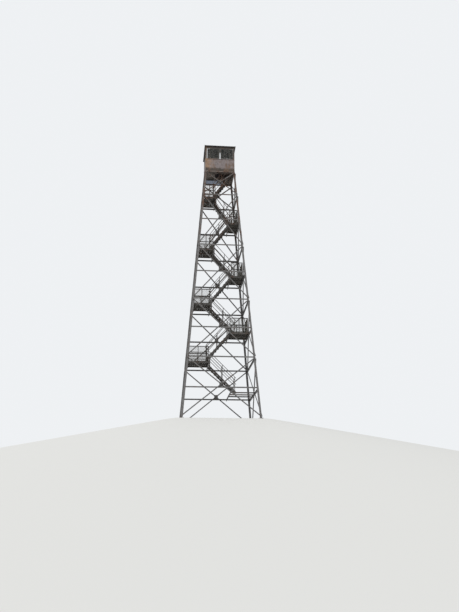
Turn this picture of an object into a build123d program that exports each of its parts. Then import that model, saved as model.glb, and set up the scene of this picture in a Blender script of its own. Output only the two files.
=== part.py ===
from build123d import *
import os
from math import atan, atan2, cos, sin

os.makedirs("parts", exist_ok=True)

# A steel lookout tower on four leaning legs, with stairs inside it and a small cab on top.
# Millimetres. X runs to the right along the near side, Y away from the viewer, Z up.
# The origin is on the ground, under the middle of the tower.

# Height and spread
storeys = 9
storey = 2032.0
base_width = 5100.0
top_width = 2160.0

# Legs: angles with their two flanges in the planes of two sides
leg_flange = 130.0
leg_thickness = 10.0
splice_storeys = (3.45, 6.45)
splice_length = 420.0
splice_width = 90.0
splice_thickness = 8.0

# Feet and caps of the legs, the caps under the corners of the cab
foot_plate = 320.0
foot_thickness = 20.0
foot_hole = 24.0
foot_hole_spacing = 240.0
foot_wing_height = 100.0
foot_wing_thickness = 10.0
leg_cap = 180.0
leg_cap_thickness = 12.0

# Girts: an angle at each storey on the near and far sides, a channel on the left and right sides,
# whose top is level with the joists of the landings
angle_girt_depth = 90.0
angle_girt_flange = 75.0
angle_girt_thickness = 7.0
angle_girt_rise = 20.0
channel_girt_depth = 150.0
channel_girt_flange = 60.0
channel_girt_thickness = 8.0
girt_clearance = 4.0

# Braces: crossed angles outside the legs, one bar of each cross cut in two at the centre plate
brace_panels = ((0, 2), (2, 4), (4, 6), (6, 8), (8, 9))
brace_width = 75.0
brace_flange = 60.0
brace_thickness = 7.0
brace_end_gap = 95.0
brace_foot_gap = 190.0
brace_top_gap = 60.0
brace_cut_clearance = 6.0
centre_plate = 260.0

# The two lanes of the stairs, the near one rising right and the far one rising left
lane_width = 700.0
lane_gap = 100.0

# How far from the middle each landing begins, from the first storey up, and last the cab's hatch
landing_starts = (700.0, 680.0, 640.0, 580.0, 740.0, 400.0, 640.0, 260.0, 800.0)

# How far beyond the middle each flight starts, from the one up to the second storey
flight_starts = (1160.0, 920.0, 1180.0, 700.0, 1180.0, 720.0, 1000.0, 480.0)

# Landings, a little deeper than the two lanes together
landing_margin = 50.0
deck_thickness = 38.0
deck_clearance = 4.0
joist_depth = 80.0
joist_flange = 40.0
joist_thickness = 6.0
beam_depth = 100.0
beam_flange = 50.0
beam_thickness = 7.0

# Guards on three sides of the landings
guard_heights = (500.0, 1000.0)
guard_bar = 45.0
guard_thickness = 5.0
guard_inset = 112.0

# Pieces bolted side by side stand this far apart
fit_gap = 0.5

# Flights
first_flight = 2
risers = 10
tread_depth = 225.0
tread_thickness = 38.0
string_below_nosing = 45.0
string_depth = 105.0
string_thickness = 8.0
string_flange = 40.0
string_foot_lead = 30.0
handrail_height = 900.0
middle_rail_height = 450.0
rail_bar = 40.0
rail_thickness = 5.0
rail_post_places = (0.04, 0.5, 0.96)

# Cab floor and hatch
cab_setback = 13.0
cab_joist_depth = 100.0
cab_joist_width = 50.0
hatch_length = 1120.0
hatch_clearance = 10.0

# Cab walls and windows
corner_post = 80.0
wall_thickness = 45.0
wall_inset = 10.0
sill_height = 930.0
window_height = 880.0
window_bar = 50.0
window_thickness = 40.0
mullion = 60.0
glass_thickness = 5.0
top_plate_depth = 120.0

# Roof
roof_overhang = 76.0
roof_edge = 60.0
roof_rise = 400.0
roof_top = 80.0
roof_thickness = 25.0

# Worked out from the sizes above
tower_height = storeys * storey
cab_width = top_width - 2 * cab_setback
roof_width = cab_width + 2 * roof_overhang
slope = (base_width - top_width) / 2 / tower_height
lean = atan(slope)
leg_seat = leg_thickness * cos(lean)
leg_top = tower_height - deck_thickness - cab_joist_depth - leg_cap_thickness
step_rise = storey / risers
lane_middle = (lane_gap + lane_width) / 2
landing_half_depth = lane_gap / 2 + lane_width + landing_margin

sides = {"near": 0, "right": 90, "far": 180, "left": 270}


def half_width(height):
    """Half the width of the tower over its legs, at a height."""
    return base_width / 2 - slope * height


def up_side(height):
    """Distance up a leaning side to a height."""
    return height / cos(lean)


def side_plane(turn, depth=0.0):
    """A plane in a side of the tower, `depth` inside the outer faces of the legs.

    x runs along the side, y up its slope and z outwards.
    """
    foot = Vector(0, -base_width / 2, 0).rotate(Axis.Z, turn)
    along = Vector(1, 0, 0).rotate(Axis.Z, turn)
    outward = Vector(0, -cos(lean), sin(lean)).rotate(Axis.Z, turn)
    return Plane(origin=foot, x_dir=along, z_dir=outward).offset(-depth)


def upright_plane(origin, along):
    """An upright plane through a point: x along a level direction, y up."""
    return Plane(origin=origin, x_dir=along, z_dir=Vector(along).cross(Vector(0, 0, 1)))


def angle_bar(start, end, first, flange, thickness, second=None):
    """An angle bar from start to end, one flange along `first`, the other square to it."""
    path = Vector(end) - Vector(start)
    with BuildSketch(Plane(origin=start, x_dir=first, z_dir=path)) as section:
        Rectangle(flange, thickness, align=(Align.MIN, Align.MIN))
        Rectangle(thickness, second or flange, align=(Align.MIN, Align.MIN))
    extrude(section.sketch, amount=path.length)


def channel_bar(start, end, back, depth, flange, thickness):
    """A channel bar from start to end, its web along `back`, its flanges square to it."""
    path = Vector(end) - Vector(start)
    with BuildSketch(Plane(origin=start, x_dir=back, z_dir=path)) as section:
        Rectangle(depth, thickness, align=(Align.MIN, Align.MIN))
        Rectangle(thickness, flange, align=(Align.MIN, Align.MIN))
        with Locations((depth - thickness, 0)):
            Rectangle(thickness, flange, align=(Align.MIN, Align.MIN))
    extrude(section.sketch, amount=path.length)


def rail_bar_between(start, end, inward, bar, thickness):
    """An angle rail, one flange flat on top towards `inward`, the other hanging down."""
    if (Vector(end) - Vector(start)).cross(Vector(inward)).Z > 0:
        start, end = end, start
    angle_bar(start, end, inward, bar, thickness)


def save(piece, label):
    """Name a finished piece and write it."""
    piece.part.label = label
    export_step(piece.part, f"parts/{label}.step")


# Legs, each with its two splices inside the angle
leg_names = ("near_left_leg", "near_right_leg", "far_right_leg", "far_left_leg")
low_corner = half_width(foot_thickness)
for name, turn in zip(leg_names, sides.values()):
    turned = Plane.XY.rotated((0, 0, turn))
    climb = Vector(slope, slope, 1).rotate(Axis.Z, turn)
    with BuildPart() as leg:
        with BuildSketch(turned.offset(foot_thickness)):
            with Locations((-low_corner, -low_corner)):
                Rectangle(leg_flange, leg_thickness, align=(Align.MIN, Align.MIN))
                Rectangle(leg_thickness, leg_flange, align=(Align.MIN, Align.MIN))
        extrude(amount=(leg_top - foot_thickness) * climb.length, dir=climb.normalized())
        for level in splice_storeys:
            splice_foot = level * storey - splice_length / 2
            corner = half_width(splice_foot) - leg_thickness
            with BuildSketch(turned.offset(splice_foot)):
                with Locations((-corner, -corner)):
                    Rectangle(splice_width, splice_thickness, align=(Align.MIN, Align.MIN))
                    Rectangle(splice_thickness, splice_width, align=(Align.MIN, Align.MIN))
            extrude(amount=splice_length * climb.length, dir=climb.normalized())
    save(leg, name)

# Feet: an anchored plate under each leg, with a wing outside each flange
foot_centre = base_width / 2 - leg_flange / 2
wing_top = foot_thickness + foot_wing_height
with BuildPart() as feet:
    with BuildSketch():
        with GridLocations(2 * foot_centre, 2 * foot_centre, 2, 2):
            Rectangle(foot_plate, foot_plate)
            with GridLocations(foot_hole_spacing, foot_hole_spacing, 2, 2):
                Circle(foot_hole / 2, mode=Mode.SUBTRACT)
    extrude(amount=foot_thickness)
    for turn in sides.values():
        outward = Vector(0, -1, 0).rotate(Axis.Z, turn)
        for place in (-foot_centre, foot_centre):
            middle = Vector(place, 0, 0).rotate(Axis.Z, turn)
            with BuildSketch(upright_plane(middle, outward)):
                Polygon(
                    (low_corner, foot_thickness),
                    (foot_centre + foot_plate / 2, foot_thickness),
                    (half_width(wing_top), wing_top),
                    align=None,
                )
            extrude(amount=foot_wing_thickness / 2, both=True)
save(feet, "feet")

# Where the two bars of each cross meet, and how far from there the cut bar stops
brace_inset = leg_flange / 2
crosses = []
meeting_at_girt = {}
meeting_alone = []
for lower, upper in brace_panels:
    low = lower * storey + (brace_end_gap if lower else brace_foot_gap)
    high = upper * storey - brace_end_gap if upper < storeys else leg_top - brace_top_gap
    low_x = half_width(low) - brace_inset
    high_x = half_width(high) - brace_inset
    share = low_x / (low_x + high_x)
    meeting = up_side(low + share * (high - low))
    angle_between = 2 * atan2(up_side(high - low), low_x + high_x)
    half_cut = (brace_width / 2 * (1 + abs(cos(angle_between))) + brace_cut_clearance) / sin(angle_between)
    crosses.append((low_x, up_side(low), high_x, up_side(high), meeting, half_cut))
    if upper - lower > 1:
        meeting_at_girt[lower + 1] = meeting
    else:
        meeting_alone.append(meeting)

# Girts of each side, with the plates that join the crossed braces
for side, turn in sides.items():
    inner = side_plane(turn, leg_seat)
    end_x = channel_girt_flange + leg_thickness + channel_girt_thickness + girt_clearance
    with BuildPart() as girts:
        for level in range(1, storeys):
            if side in ("near", "far"):
                top = up_side(level * storey) + angle_girt_rise
                reach = half_width(level * storey + angle_girt_rise) - end_x
                start = inner.from_local_coords((-reach, top, 0))
                end = inner.from_local_coords((reach, top, 0))
                down = inner.y_dir * -1
                angle_bar(start, end, down, angle_girt_depth, angle_girt_thickness, angle_girt_flange)
                bottom = top - angle_girt_depth
            else:
                top = up_side(level * storey) - deck_thickness
                bottom = top - channel_girt_depth
                reach = half_width(level * storey) - leg_thickness - girt_clearance
                start = inner.from_local_coords((reach, bottom, 0))
                end = inner.from_local_coords((-reach, bottom, 0))
                channel_bar(
                    start, end, inner.y_dir, channel_girt_depth, channel_girt_flange, channel_girt_thickness
                )
            if level in meeting_at_girt:
                plate_top = meeting_at_girt[level] + centre_plate / 2
                with BuildSketch(inner) as plate:
                    with Locations((0, (plate_top + bottom) / 2)):
                        Rectangle(centre_plate, plate_top - bottom)
                extrude(plate.sketch, amount=leg_seat)
        for meeting in meeting_alone:
            with BuildSketch(inner) as plate:
                with Locations((0, meeting)):
                    Rectangle(centre_plate, centre_plate)
            extrude(plate.sketch, amount=leg_seat)
    save(girts, f"{side}_girts")

# Braces of each side: a whole bar rising to the right, and a bar in two halves falling to the right
for side, turn in sides.items():
    outer = side_plane(turn)
    with BuildPart() as braces:
        for low_x, low, high_x, high, meeting, half_cut in crosses:
            rising = (Vector(-low_x, low), Vector(high_x, high))
            falling = (Vector(-high_x, high), Vector(low_x, low))
            cut = (falling[1] - falling[0]).normalized() * half_cut
            centre = Vector(0, meeting)
            for start, end in (rising, (falling[0], centre - cut), (centre + cut, falling[1])):
                across = Vector(0, 0, 1).cross(end - start).normalized()
                corner = across * (-brace_width / 2)
                angle_bar(
                    outer.from_local_coords(start + corner),
                    outer.from_local_coords(end + corner),
                    outer.from_local_coords(across) - outer.origin,
                    brace_width,
                    brace_thickness,
                    brace_flange,
                )
    save(braces, f"{side}_braces")

# Beams across the tower that carry the inner edges of the landings and the ends of the flights
with BuildPart() as beams:
    for level in range(1, storeys):
        right = 1 if level % 2 else -1
        back = right * (landing_starts[level - 1] + beam_flange)
        top = level * storey - deck_thickness
        channel_bar(
            (back, -right * base_width / 2, top),
            (back, right * base_width / 2, top),
            (0, 0, -1),
            beam_depth,
            beam_flange,
            beam_thickness,
        )
    split(bisect_by=side_plane(sides["near"], leg_seat + angle_girt_thickness), keep=Keep.BOTTOM)
    split(bisect_by=side_plane(sides["far"], leg_seat + angle_girt_thickness), keep=Keep.BOTTOM)
save(beams, "stair_beams")

# Landings: to the right at odd storeys and to the left at even ones
joist_places = ((-landing_half_depth, 1), (0, 1), (landing_half_depth, -1))


def landing_ends(level):
    """Which way a landing lies from the middle, and its inner and outer ends."""
    right = 1 if level % 2 else -1
    outer = half_width(level * storey) - leg_seat - deck_clearance
    return right, right * landing_starts[level - 1], right * outer


for level in range(1, storeys):
    right, inner_x, outer_x = landing_ends(level)
    top = level * storey
    joist_top = top - deck_thickness
    with BuildPart() as landing:
        # Joists from the beam to the flanges of the girt of the side
        near_x = inner_x + right * beam_flange
        far_x = right * half_width(top - joist_depth)
        for place, facing in joist_places:
            ends = (near_x, far_x) if facing == right else (far_x, near_x)
            channel_bar(
                (ends[0], place, joist_top),
                (ends[1], place, joist_top),
                (0, 0, -1),
                joist_depth,
                joist_flange,
                joist_thickness,
            )
        side = sides["right" if right > 0 else "left"]
        split(bisect_by=side_plane(side, leg_seat + channel_girt_flange + fit_gap), keep=Keep.BOTTOM)
        # The first landing has lost its deck and guard
        if level >= first_flight:
            inner_post = inner_x + right * (beam_flange + fit_gap)
            outer_post = outer_x - right * guard_inset
            middle_post = (inner_post + outer_post) / 2
            # A panel of posts and rails bolted to the outer face of each edge joist
            for y_in in (1, -1):
                face_y = -y_in * (landing_half_depth + fit_gap)
                for post_x, x_in in ((inner_post, right), (middle_post, right), (outer_post, -right)):
                    angle_bar(
                        (post_x, face_y, joist_top - joist_depth),
                        (post_x, face_y, top + guard_heights[-1]),
                        (x_in, 0, 0) if x_in == -y_in else (0, -y_in, 0),
                        guard_bar,
                        guard_thickness,
                    )
                for height in guard_heights:
                    rail_bar_between(
                        (inner_post, face_y, top + height),
                        (outer_post, face_y, top + height),
                        (0, -y_in, 0),
                        guard_bar,
                        guard_thickness,
                    )
            # A panel across the outer end, between those two, its post standing on the deck
            for height in guard_heights:
                rail_bar_between(
                    (outer_post, -landing_half_depth, top + height),
                    (outer_post, landing_half_depth, top + height),
                    (-right, 0, 0),
                    guard_bar,
                    guard_thickness,
                )
            angle_bar(
                (outer_post, 0, top + fit_gap),
                (outer_post, 0, top + guard_heights[-1]),
                (-right, 0, 0),
                guard_bar,
                guard_thickness,
            )
    save(landing, f"landing_{level}")

# Decks of the landings that still have theirs, on the beam, the joists and the girt of the side
with BuildPart() as decks:
    for level in range(first_flight, storeys):
        right, inner_x, outer_x = landing_ends(level)
        with Locations(((inner_x + outer_x) / 2, 0, level * storey - deck_thickness / 2)):
            Box(abs(outer_x - inner_x), 2 * landing_half_depth, deck_thickness)
save(decks, "landing_decks")


def flight_layout(level):
    """For the flight up to a storey: its direction, its lane's middle, its first riser, its going."""
    direction = 1 if level % 2 else -1
    start = flight_starts[level - first_flight]
    going = (start + landing_starts[level - 1]) / (risers - 1)
    return direction, -direction * lane_middle, -direction * start, going


# Strings of each flight, with the posts and rails on them
string_half_width = lane_width / 2 - string_flange
for level in range(first_flight, storeys + 1):
    direction, middle, foot_x, going = flight_layout(level)
    low = (level - 1) * storey
    flight_run = (risers - 1) * going
    steepness = step_rise / going
    pitch = atan(steepness)
    sloped = 1 / cos(pitch)
    string_top = step_rise - string_below_nosing * sloped
    string_foot = string_top - string_depth * sloped
    post_height = handrail_height + (string_below_nosing - rail_thickness - 2 * fit_gap) * sloped
    foot = -string_foot_lead
    outline = (
        (foot, 0),
        (-string_foot / steepness, 0),
        (flight_run, string_foot + flight_run * steepness),
        (flight_run, string_top + flight_run * steepness),
        (foot, string_top + foot * steepness),
    )
    with BuildPart() as strings:
        for outward in (-1, 1):
            web_y = middle + outward * string_half_width
            # The plane's normal is opposite to the run of the flight, so the flanges may lie behind it
            facing = -direction * outward
            plane = upright_plane((foot_x, web_y, low), (direction, 0, 0))
            with BuildSketch(plane) as outside:
                Polygon(*outline, align=None)
            extrude(outside.sketch, amount=facing * string_flange)
            with BuildSketch(plane.offset(facing * string_thickness)) as inside:
                Polygon(*outline, align=None)
                offset(amount=-string_thickness, mode=Mode.REPLACE)
            extrude(inside.sketch, amount=facing * string_flange, mode=Mode.SUBTRACT)

            # Posts cut to the pitch, standing on the string's upper flange
            edge_y = middle + outward * lane_width / 2
            up_flight = Vector(direction * cos(pitch), 0, sin(pitch))
            across = Vector(0, -outward, 0)
            for place in rail_post_places:
                post = foot + place * (flight_run - foot - rail_bar)
                seat = low + string_top + post * steepness + fit_gap * sloped
                seat_corner = (foot_x + direction * post, edge_y, seat)
                seat_plane = Plane(seat_corner, up_flight, up_flight.cross(across))
                with BuildSketch(seat_plane) as post_section:
                    Rectangle(rail_bar * sloped, rail_thickness, align=(Align.MIN, Align.MIN))
                    Rectangle(rail_thickness * sloped, string_flange, align=(Align.MIN, Align.MIN))
                extrude(post_section.sketch, amount=post_height, dir=(0, 0, 1))

            # A handrail over the posts, and a flat middle rail outside them
            rail_ends = [
                Vector(foot_x + direction * run, edge_y, low + step_rise + run * steepness)
                for run in (foot, flight_run)
            ]
            clear = Vector(0, outward * (fit_gap + rail_thickness), handrail_height)
            rail_bar_between(rail_ends[0] + clear, rail_ends[1] + clear, across, rail_bar, rail_thickness)
            clear = Vector(0, outward * fit_gap, middle_rail_height)
            middle_rail = Plane(rail_ends[0] + clear, across * -1, rail_ends[1] - rail_ends[0])
            with BuildSketch(middle_rail) as bar_section:
                Rectangle(rail_thickness, rail_bar, align=(Align.MIN, Align.CENTER))
            extrude(bar_section.sketch, amount=(rail_ends[1] - rail_ends[0]).length)
    save(strings, f"flight_{level}_strings")

# Treads, all those of the flights that rise the same way in one piece group
for label, direction in (("treads_rising_right", 1), ("treads_rising_left", -1)):
    with BuildPart() as treads:
        for level in range(first_flight, storeys + 1):
            way, middle, foot_x, going = flight_layout(level)
            if way == direction:
                for step in range(1, risers):
                    nosing_x = foot_x + way * (step - 1) * going
                    top = (level - 1) * storey + step * step_rise
                    with Locations((nosing_x + way * tread_depth / 2, middle, top - tread_thickness / 2)):
                        Box(tread_depth, 2 * string_half_width, tread_thickness)
    save(treads, label)

# Cab floor: a frame of joists on the legs, with trimmers round the hatch, and the boards on it
floor_top = tower_height
frame_top = floor_top - deck_thickness
joist = cab_joist_width
hatch_right = landing_starts[-1]
hatch_left = hatch_right - hatch_length
hatch_middle = (hatch_left + hatch_right) / 2
hatch_near = lane_middle + lane_width / 2 + hatch_clearance
hatch_far = lane_middle - lane_width / 2 - hatch_clearance
far_joist = (cab_width / 2 - joist - hatch_far) / 2
with BuildPart() as floor_frame:
    with BuildSketch(Plane.XY.offset(frame_top - cab_joist_depth)):
        Rectangle(cab_width, cab_width)
        Rectangle(cab_width - 2 * joist, cab_width - 2 * joist, mode=Mode.SUBTRACT)
        for edge, way in ((hatch_left, Align.MAX), (hatch_right, Align.MIN)):
            with Locations((edge, 0)):
                Rectangle(joist, cab_width - joist, align=(way, Align.CENTER))
        for edge, way in ((-hatch_near, Align.MAX), (-hatch_far, Align.MIN), (far_joist, Align.MIN)):
            with Locations((hatch_middle, edge)):
                Rectangle(hatch_length + joist, joist, align=(Align.CENTER, way))
    extrude(amount=cab_joist_depth)
    # Caps that sit on the legs
    cap_middle = half_width(leg_top) - leg_cap / 2
    with BuildSketch(Plane.XY.offset(leg_top)):
        with GridLocations(2 * cap_middle, 2 * cap_middle, 2, 2):
            Rectangle(leg_cap, leg_cap)
    extrude(amount=leg_cap_thickness)
save(floor_frame, "cab_floor_frame")

with BuildPart() as floor:
    with BuildSketch(Plane.XY.offset(frame_top)):
        Rectangle(cab_width, cab_width)
        with Locations((hatch_middle, -lane_middle)):
            Rectangle(hatch_length, hatch_near - hatch_far, mode=Mode.SUBTRACT)
    extrude(amount=deck_thickness)
save(floor, "cab_floor")

# Corner posts, and the plate on top of them that carries the roof
post_top = sill_height + window_height
eave_height = post_top + top_plate_depth
post_spacing = cab_width - corner_post
with BuildPart() as posts:
    with BuildSketch(Plane.XY.offset(floor_top)):
        with GridLocations(post_spacing, post_spacing, 2, 2):
            Rectangle(corner_post, corner_post)
    extrude(amount=post_top)
save(posts, "cab_posts")

with BuildPart() as top_plate:
    with BuildSketch(Plane.XY.offset(floor_top + post_top)):
        Rectangle(cab_width, cab_width)
        Rectangle(cab_width - 2 * corner_post, cab_width - 2 * corner_post, mode=Mode.SUBTRACT)
    extrude(amount=top_plate_depth)
save(top_plate, "cab_top_plate")

# Walls below the windows, and the windows, one of each to a side
wall_length = cab_width - 2 * corner_post


def cab_face(turn, depth):
    """An upright plane in a side of the cab, `depth` inside its posts: x along the side, y up."""
    outward = Vector(0, -1, 0).rotate(Axis.Z, turn)
    along = Vector(1, 0, 0).rotate(Axis.Z, turn)
    return Plane(origin=outward * (cab_width / 2 - depth), x_dir=along, z_dir=outward)


for side, turn in sides.items():
    face = cab_face(turn, wall_inset)
    with BuildPart() as wall:
        with BuildSketch(face):
            with Locations((0, floor_top)):
                Rectangle(wall_length, sill_height, align=(Align.CENTER, Align.MIN))
        extrude(amount=-wall_thickness)
    save(wall, f"cab_{side}_wall")
    with BuildPart() as window:
        with BuildSketch(face):
            with Locations((0, floor_top + sill_height + window_height / 2)):
                Rectangle(wall_length, window_height)
                Rectangle(wall_length - 2 * window_bar, window_height - 2 * window_bar, mode=Mode.SUBTRACT)
                Rectangle(mullion, window_height)
        extrude(amount=-window_thickness)
    save(window, f"cab_{side}_windows")

# Glass in the windows, two panes to a side
pane_width = (wall_length - 2 * window_bar - mullion) / 2
pane_height = window_height - 2 * window_bar
pane_depth = wall_inset + (window_thickness - glass_thickness) / 2
with BuildPart() as glass:
    for turn in sides.values():
        with BuildSketch(cab_face(turn, pane_depth)) as panes:
            with Locations((0, floor_top + sill_height + window_height / 2)):
                with GridLocations(pane_width + mullion, 0, 2, 1):
                    Rectangle(pane_width, pane_height)
        extrude(panes.sketch, amount=-glass_thickness)
save(glass, "cab_glass")

# Roof: a low pyramid of sheet with a turned-down edge, hollow below
roof_bottom = floor_top + eave_height
hip_top = roof_edge + roof_rise


def pyramid(bottom_width, bottom, top_width, top, mode):
    """Four flat slopes from one level square to a smaller one: two crossed roofs, where both are."""
    with BuildPart(mode=Mode.PRIVATE) as slopes:
        for plane, keep in ((Plane.XZ, Mode.ADD), (Plane.YZ, Mode.INTERSECT)):
            with BuildSketch(plane):
                Polygon(
                    (-bottom_width / 2, bottom),
                    (bottom_width / 2, bottom),
                    (top_width / 2, top),
                    (-top_width / 2, top),
                    align=None,
                )
            extrude(amount=roof_width, both=True, mode=keep)
    add(slopes.part.moved(Location((0, 0, roof_bottom))), mode=mode)


with BuildPart() as roof:
    with BuildSketch(Plane.XY.offset(roof_bottom)):
        Rectangle(roof_width, roof_width)
    extrude(amount=roof_edge)
    pyramid(roof_width, roof_edge, roof_top, hip_top, Mode.ADD)
    pyramid(wall_length, 0, roof_top, hip_top - roof_thickness, Mode.SUBTRACT)
save(roof, "cab_roof")
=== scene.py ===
import math
import random

import bmesh
import bpy
from mathutils import Matrix, Quaternion, Vector


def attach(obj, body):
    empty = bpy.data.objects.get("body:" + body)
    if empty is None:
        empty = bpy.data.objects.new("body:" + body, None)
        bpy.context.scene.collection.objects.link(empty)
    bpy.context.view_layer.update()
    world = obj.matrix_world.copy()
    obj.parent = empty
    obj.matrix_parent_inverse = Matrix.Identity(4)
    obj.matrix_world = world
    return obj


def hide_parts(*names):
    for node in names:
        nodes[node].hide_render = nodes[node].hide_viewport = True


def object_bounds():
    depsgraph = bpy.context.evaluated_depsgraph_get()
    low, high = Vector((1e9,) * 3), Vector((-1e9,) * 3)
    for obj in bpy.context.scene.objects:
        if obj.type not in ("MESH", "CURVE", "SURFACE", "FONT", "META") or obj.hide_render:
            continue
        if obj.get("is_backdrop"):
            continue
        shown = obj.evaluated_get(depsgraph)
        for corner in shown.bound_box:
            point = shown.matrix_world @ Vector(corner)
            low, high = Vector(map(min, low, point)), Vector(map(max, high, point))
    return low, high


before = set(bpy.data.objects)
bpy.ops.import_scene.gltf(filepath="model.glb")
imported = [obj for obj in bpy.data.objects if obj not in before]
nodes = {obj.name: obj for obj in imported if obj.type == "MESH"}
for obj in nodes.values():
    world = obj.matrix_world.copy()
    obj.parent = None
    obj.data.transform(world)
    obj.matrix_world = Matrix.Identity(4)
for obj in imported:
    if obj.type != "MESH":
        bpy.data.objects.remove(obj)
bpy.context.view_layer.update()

# The viewpoint is far below the cab and looks up at it. The lens is as long as the
# photograph's own, reckoned for a frame as high as the photograph.
frame_height_px = 612
focal_length_px = 640
sensor_size = 36.0
sight_limit = 400
viewpoint = Vector((-3.19, -42.48, -5.58))
heading = math.radians(5.31)
look_up = math.radians(17.9)
tilt = math.radians(0.21)

view = bpy.data.cameras.new("viewpoint")
view.sensor_width = sensor_size
view.lens = sensor_size * focal_length_px / frame_height_px
view.clip_end = sight_limit
camera = bpy.data.objects.new("viewpoint", view)
bpy.context.scene.collection.objects.link(camera)
forward = Vector(
    (
        math.sin(heading) * math.cos(look_up),
        math.cos(heading) * math.cos(look_up),
        math.sin(look_up),
    )
)
camera.location = viewpoint
camera.rotation_mode = "QUATERNION"
camera.rotation_quaternion = forward.to_track_quat("-Z", "Y") @ Quaternion((0, 0, 1), -tilt)
bpy.context.scene.camera = camera


# The studio floor is one pale sheet. It is level under the four feet and falls away evenly
# on all sides, so that it stays below the line of sight of the low viewpoint. Its cells crowd
# together where it bends, near the tower.
floor_reach = 90.0
floor_cells = 160
crowding = 2.5
level_half = 2.72
brow = 0.25
fall = math.tan(math.radians(13))
floor_colour = (0.74, 0.74, 0.73)


def connect(tree, sockets, values):
    """Give each socket its value: a link from another socket, a colour or a number."""
    for socket, value in zip(sockets, values):
        if isinstance(value, bpy.types.NodeSocket):
            tree.links.new(value, socket)
        elif isinstance(value, tuple):
            socket.default_value = (*value, 1)
        else:
            socket.default_value = value


def add_node(tree, kind, **settings):
    """A shader node with its settings, by attribute or else by input name."""
    made = tree.nodes.new(kind)
    for name, value in settings.items():
        if hasattr(made, name):
            setattr(made, name, value)
        else:
            connect(tree, [made.inputs[name.replace("_", " ")]], [value])
    return made


def new_material(name):
    """An empty material, and its node tree."""
    material = bpy.data.materials.new(name)
    material.use_nodes = True
    material.node_tree.nodes.clear()
    return material, material.node_tree


def nothing_selected():
    """Clear the selection, so that the next operator acts on the new piece alone."""
    bpy.ops.object.select_all(action="DESELECT")


nothing_selected()
bpy.ops.mesh.primitive_grid_add(x_subdivisions=floor_cells, y_subdivisions=floor_cells, size=2)
floor = bpy.context.object
floor.name = "studio_floor"
for vertex in floor.data.vertices:
    x, y = (floor_reach * t * abs(t) ** (crowding - 1) for t in vertex.co.xy)
    beyond = math.hypot(max(abs(x) - level_half, 0), max(abs(y) - level_half, 0))
    vertex.co = (x, y, -fall * (math.hypot(beyond, brow) - brow))
bpy.ops.object.shade_smooth()
floor_paint, tree = new_material("floor_paint")
matt = add_node(tree, "ShaderNodeBsdfDiffuse", Color=floor_colour)
add_node(tree, "ShaderNodeOutputMaterial", Surface=matt.outputs[0])
floor.data.materials.append(floor_paint)
floor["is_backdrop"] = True


# Soft daylight: an even pale sky, and one broad lamp high on the left. What the camera and
# the glossy surfaces see of the sky is the pale backdrop.
def calculated(tree, operation, first, second):
    """One sum on two values, each of them a socket or a number."""
    sum_node = add_node(tree, "ShaderNodeMath", operation=operation)
    connect(tree, sum_node.inputs, (first, second))
    return sum_node.outputs[0]


sky = bpy.data.worlds.new("studio_sky")
sky.use_nodes = True
tree = sky.node_tree
tree.nodes.clear()
backdrop = add_node(tree, "ShaderNodeBackground", Color=(0.86, 0.88, 0.90), Strength=1.0)
daylight = add_node(tree, "ShaderNodeBackground", Color=(0.95, 0.98, 1.0), Strength=0.62)
rays = add_node(tree, "ShaderNodeLightPath").outputs
mirrored = calculated(tree, "MAXIMUM", rays["Is Glossy Ray"], rays["Is Transmission Ray"])
looked_at = calculated(tree, "MAXIMUM", rays["Is Camera Ray"], mirrored)
choice = add_node(tree, "ShaderNodeMixShader")
connect(tree, choice.inputs, (looked_at, daylight.outputs[0], backdrop.outputs[0]))
add_node(tree, "ShaderNodeOutputWorld", Surface=choice.outputs[0])
bpy.context.scene.world = sky

lamp = bpy.data.lights.new("broad_lamp", "SUN")
lamp.energy = 1.7
lamp.angle = math.radians(14)
lamp.color = (1.0, 0.97, 0.92)
lamp_stand = bpy.data.objects.new("broad_lamp", lamp)
bpy.context.scene.collection.objects.link(lamp_stand)
lamp_from = Vector((-0.55, -0.62, 0.85))
lamp_stand.rotation_mode = "QUATERNION"
lamp_stand.rotation_quaternion = lamp_from.to_track_quat("Z", "Y")


# Each leg is a steel angle that leans in towards the cab. It was zinc coated once and is now
# dull, and rust runs down it in streaks and grows towards the top.
storey = 2.032
storeys = 9
base_half = 2.55
top_half = 1.08
tower_height = storey * storeys
slope = (base_half - top_half) / tower_height
lean = math.atan(slope)
leg_flange = 0.13
leg_thickness = 0.010


def half_width(height):
    """Half the width of the tower over its legs, at a height."""
    return base_half - slope * height


def object_place(tree, stretch=(1, 1, 1)):
    """The place on the object that a pattern reads, stretched to lengthen or shorten it."""
    place = add_node(tree, "ShaderNodeTexCoord")
    mapped = add_node(tree, "ShaderNodeMapping", Vector=place.outputs["Object"])
    mapped.inputs["Scale"].default_value = stretch
    return mapped.outputs[0]


def coordinates(tree):
    """The three coordinates of a place on the object, apart."""
    return add_node(tree, "ShaderNodeSeparateXYZ", Vector=object_place(tree)).outputs


def cloudy(tree, place, scale, detail=6.0, roughness=0.6, distortion=0.0):
    """A cloudy value from 0 to 1."""
    noise = add_node(
        tree,
        "ShaderNodeTexNoise",
        Vector=place,
        Scale=scale,
        Detail=detail,
        Roughness=roughness,
        Distortion=distortion,
    )
    return noise.outputs[0]


def stepped(tree, value, low, high, to_low=0.0, to_high=1.0):
    """A value that climbs from to_low at low to to_high at high, and stays level beyond."""
    ranged = add_node(tree, "ShaderNodeMapRange", Value=value, interpolation_type="SMOOTHSTEP")
    names = ("From Min", "From Max", "To Min", "To Max")
    connect(tree, [ranged.inputs[name] for name in names], (low, high, to_low, to_high))
    return ranged.outputs[0]


def blended(tree, share, first, second):
    """Two colours, the second by its share."""
    mix = add_node(tree, "ShaderNodeMix", data_type="RGBA")
    connect(tree, (mix.inputs[0], mix.inputs[6], mix.inputs[7]), (share, first, second))
    return mix.outputs[2]


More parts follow.
